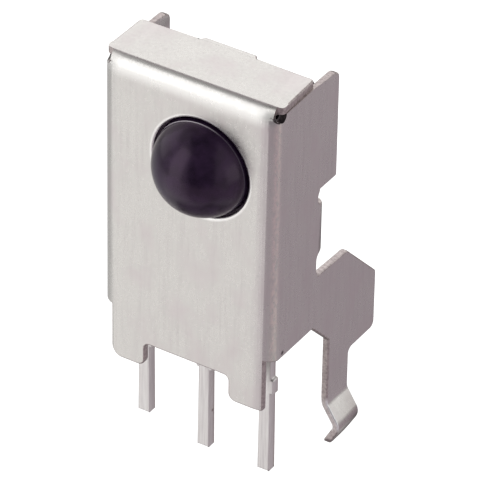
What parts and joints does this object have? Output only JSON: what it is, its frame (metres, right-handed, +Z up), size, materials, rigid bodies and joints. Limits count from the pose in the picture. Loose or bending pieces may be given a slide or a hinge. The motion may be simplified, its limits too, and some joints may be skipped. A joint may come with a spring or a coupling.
{
  "type": "infrared receiver",
  "caption": "Through-hole infrared receiver: dark epoxy body with a domed lens in a folded shield can with feet, snap-in leg and a row of leads.",
  "frame": {"origin": "centre of the middle lead on the seating plane, where the can's feet meet the circuit board", "axes": "+Z up away from the board, +X to the right as seen from the front, and the lens looks along -Y"},
  "size_m": [0.0076, 0.0085, 0.0163],
  "materials": {
    "tin_plate": "satin",
    "lens_epoxy": "gloss",
    "tinned_lead": "satin",
    "silicon": "gloss",
    "gold_wire": "gloss"
  },
  "bodies": {
    "root": {"shield_case": "tin_plate", "receiver_body": "lens_epoxy", "output_lead": "tinned_lead", "ground_lead": "tinned_lead", "supply_lead": "tinned_lead", "photodiode_chip": "silicon", "receiver_chip": "silicon", "photodiode_signal_wire": "gold_wire", "photodiode_bias_wire": "gold_wire", "output_wire": "gold_wire", "supply_wire": "gold_wire", "ground_wire": "gold_wire"}
  },
  "joints": []
}
